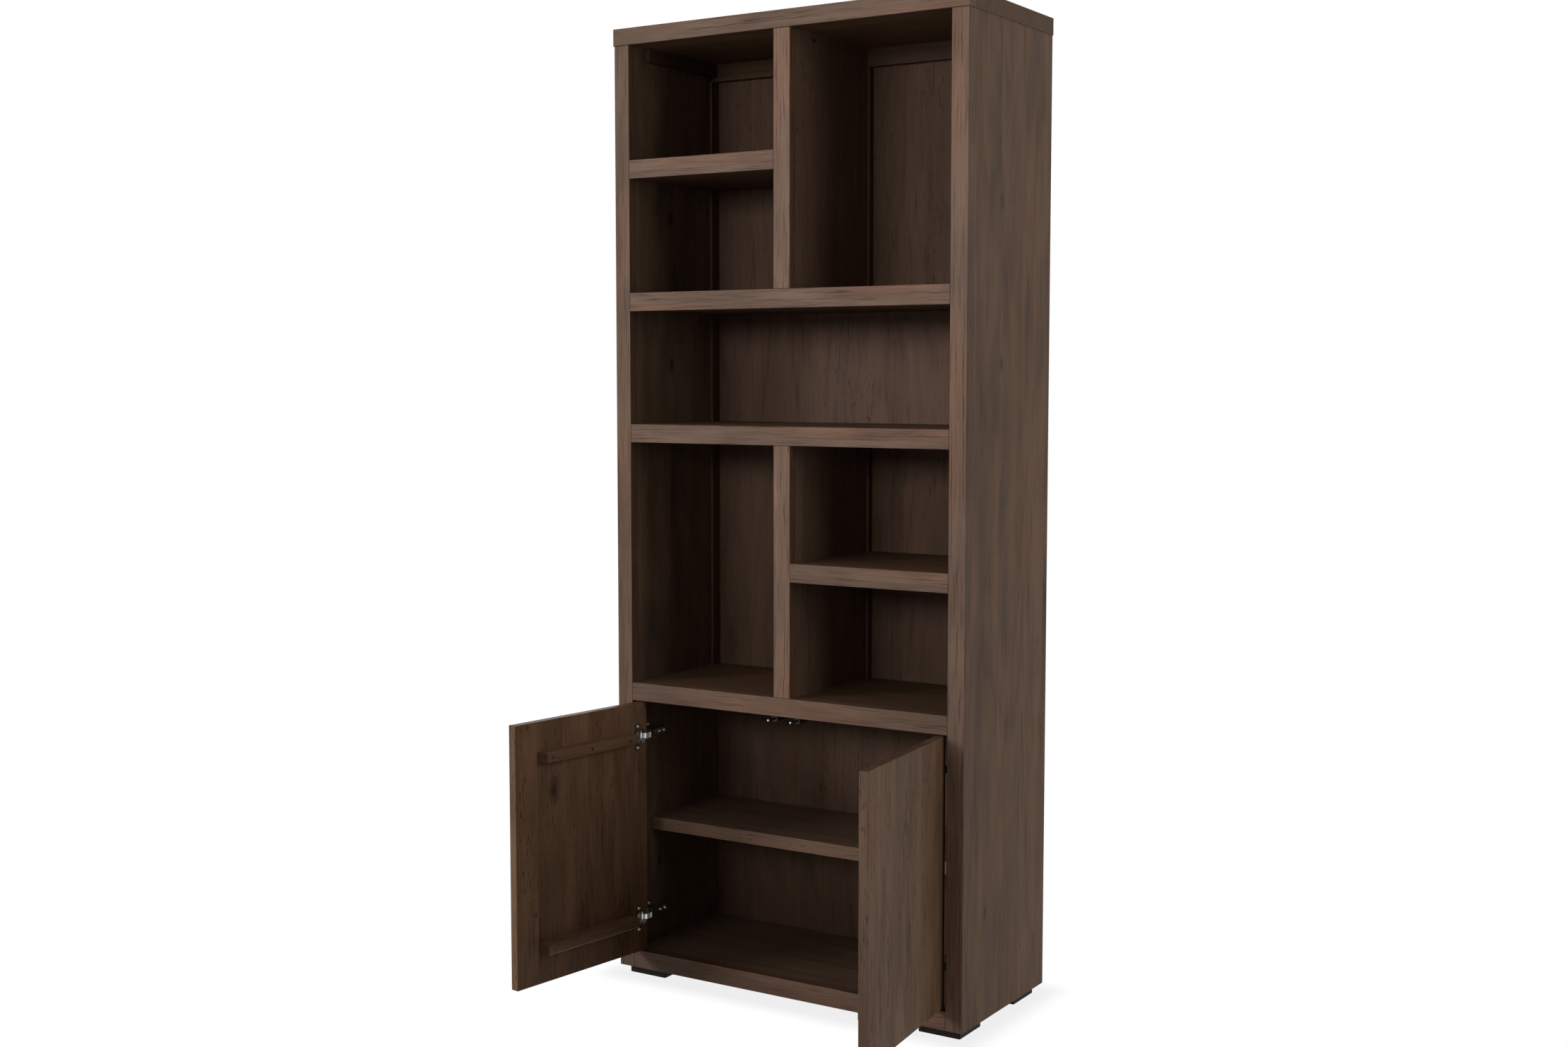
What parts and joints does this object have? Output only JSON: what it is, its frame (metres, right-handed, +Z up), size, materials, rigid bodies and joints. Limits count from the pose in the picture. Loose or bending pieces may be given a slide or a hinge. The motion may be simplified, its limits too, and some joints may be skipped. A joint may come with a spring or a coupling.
{
  "type": "bookcase with cabinet doors",
  "caption": "Tall brushed-oak bookcase: offset open niches over a cabinet with inset doors on concealed cup hinges, a loose inner shelf and push latches.",
  "frame": {"origin": "on the floor, in the middle of the width, in the plane of the case's front edges", "axes": "+X to the right seen from the front, +Y from the front to the back, +Z up"},
  "size_m": [0.907, 0.7947, 2.1885],
  "materials": {
    "oak_case": "brushed, brown stained and oiled oak veneer, grain upright",
    "oak_inner": "brown stained oak veneer, satin",
    "oak_lipping": "brushed solid oak, open pores",
    "oak_door": "brushed oak boards glued side by side, satin",
    "oak_back": "brown stained oak veneer, dull",
    "foot_black": "black painted wood, dull",
    "nickel": "nickel plated steel",
    "steel": "zinc plated steel",
    "black_screw": "dark brown screws",
    "dark_plastic": "dark brown moulded plastic"
  },
  "bodies": {
    "case": {"arm_pins": "steel", "back_panel": "oak_back", "bottom_panel": "oak_inner", "bottom_panel_lipping": "oak_lipping", "cabinet_shelf": "oak_inner", "cabinet_top": "oak_inner", "cabinet_top_lipping": "oak_lipping", "connector_cap": "dark_plastic", "divider_strips": "oak_back", "feet": "foot_black", "hinge_arms": "nickel", "hinge_plates": "nickel", "latch_bodies": "dark_plastic", "lower_divider": "oak_inner", "lower_divider_lipping": "oak_lipping", "middle_shelf": "oak_inner", "middle_shelf_lipping": "oak_lipping", "plate_screws": "steel", "shelf_pins": "steel", "side_left": "oak_case", "side_left_lipping": "oak_lipping", "side_right": "oak_case", "side_right_lipping": "oak_lipping", "small_shelf_left": "oak_inner", "small_shelf_left_lipping": "oak_lipping", "small_shelf_right": "oak_inner", "small_shelf_right_lipping": "oak_lipping", "top_cleat_left": "oak_inner", "top_cleat_right": "oak_inner", "top_panel": "oak_case", "top_panel_lipping": "oak_lipping", "top_rail_left": "oak_inner", "top_rail_right": "oak_inner", "upper_divider": "oak_inner", "upper_divider_lipping": "oak_lipping", "upper_shelf": "oak_inner", "upper_shelf_lipping": "oak_lipping", "wall_strips": "oak_back"},
    "left_links": {"hinge_links_left": "nickel"},
    "right_links": {"hinge_links_right": "nickel"},
    "left_door": {"batten_screws_left": "black_screw", "cup_pins_left": "steel", "cup_screws_left": "steel", "door_left": "oak_door", "door_left_lower_batten": "oak_door", "door_left_upper_batten": "oak_door", "hinge_cups_left": "nickel", "strike_left": "steel"},
    "right_door": {"batten_screws_right": "black_screw", "cup_pins_right": "steel", "cup_screws_right": "steel", "door_right": "oak_door", "door_right_lower_batten": "oak_door", "door_right_upper_batten": "oak_door", "hinge_cups_right": "nickel", "strike_right": "steel"},
    "left_plunger": {"latch_plunger_left": "steel"},
    "right_plunger": {"latch_plunger_right": "steel"}
  },
  "joints": [
    {"name": "left_link_turn", "type": "hinge", "parent": "case", "child": "left_links", "pos_m": [-0.379, 0.0255, 0.3575], "axis": [0, 0, 1], "range_deg": [-26.37, 0]},
    {"name": "left_door_swing", "type": "hinge", "parent": "left_links", "child": "left_door", "pos_m": [-0.38905, 0.00456, 0.3575], "axis": [0, 0, -1], "range_deg": [-124.36, 0]},
    {"name": "left_latch_push", "type": "slide", "parent": "case", "child": "left_plunger", "axis": [0, 1, 0], "range_m": [0, 0.0221]},
    {"name": "right_link_turn", "type": "hinge", "parent": "case", "child": "right_links", "pos_m": [0.379, 0.0255, 0.3575], "axis": [0, 0, -1], "range_deg": [-25.83, 0.55]},
    {"name": "right_door_swing", "type": "hinge", "parent": "right_links", "child": "right_door", "pos_m": [0.38924, 0.00466, 0.3575], "axis": [0, 0, 1], "range_deg": [-121.82, 2.54]},
    {"name": "right_latch_push", "type": "slide", "parent": "case", "child": "right_plunger", "axis": [0, 1, 0], "range_m": [-0.0006, 0.0221]}
  ],
  "couplings": [
    {"joint": "left_link_turn", "follows": "left_door_swing", "ratio": 0.21198},
    {"joint": "left_latch_push", "follows": "left_door_swing", "m_per_rad": -0.010136},
    {"joint": "right_link_turn", "follows": "right_door_swing", "ratio": 0.21198},
    {"joint": "right_latch_push", "follows": "right_door_swing", "m_per_rad": -0.010347}
  ]
}
